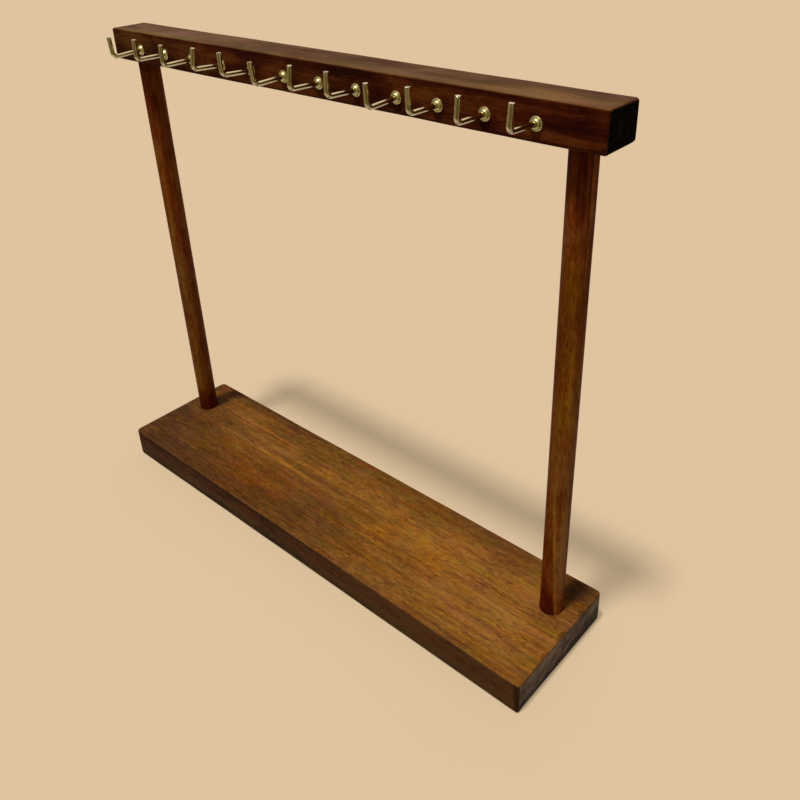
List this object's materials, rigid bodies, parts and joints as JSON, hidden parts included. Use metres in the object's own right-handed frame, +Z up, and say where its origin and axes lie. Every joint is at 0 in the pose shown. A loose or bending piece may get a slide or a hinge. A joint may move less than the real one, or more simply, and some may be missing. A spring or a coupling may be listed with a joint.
{
  "type": "necklace stand",
  "caption": "Dark stained wooden stand: a base board, two round posts and a top bar with rows of square brass hooks for hanging necklaces.",
  "frame": {"origin": "centre of the base board's underside, on the surface the stand rests on", "axes": "+X along the boards to the right as seen from the front row of hooks, +Y to the back, +Z up"},
  "size_m": [0.345, 0.0827, 0.3043],
  "materials": {
    "stained_wood": "dark walnut stain under thin satin lacquer, grain visible",
    "brass": "polished pale brass plating",
    "screw_steel": "zinc plated"
  },
  "bodies": {
    "root": {"base_board": "stained_wood", "collar_back_01": "brass", "collar_back_02": "brass", "collar_back_03": "brass", "collar_back_04": "brass", "collar_back_05": "brass", "collar_back_06": "brass", "collar_back_07": "brass", "collar_back_08": "brass", "collar_back_09": "brass", "collar_back_10": "brass", "collar_back_11": "brass", "collar_back_12": "brass", "collar_front_01": "brass", "collar_front_02": "brass", "collar_front_03": "brass", "collar_front_04": "brass", "collar_front_05": "brass", "collar_front_06": "brass", "collar_front_07": "brass", "collar_front_08": "brass", "collar_front_09": "brass", "collar_front_10": "brass", "collar_front_11": "brass", "collar_front_12": "brass", "hook_back_01": "brass", "hook_back_02": "brass", "hook_back_03": "brass", "hook_back_04": "brass", "hook_back_05": "brass", "hook_back_06": "brass", "hook_back_07": "brass", "hook_back_08": "brass", "hook_back_09": "brass", "hook_back_10": "brass", "hook_back_11": "brass", "hook_back_12": "brass", "hook_front_01": "brass", "hook_front_02": "brass", "hook_front_03": "brass", "hook_front_04": "brass", "hook_front_05": "brass", "hook_front_06": "brass", "hook_front_07": "brass", "hook_front_08": "brass", "hook_front_09": "brass", "hook_front_10": "brass", "hook_front_11": "brass", "hook_front_12": "brass", "left_post": "stained_wood", "left_post_screw": "screw_steel", "right_post": "stained_wood", "right_post_screw": "screw_steel", "top_bar": "stained_wood"}
  },
  "joints": []
}
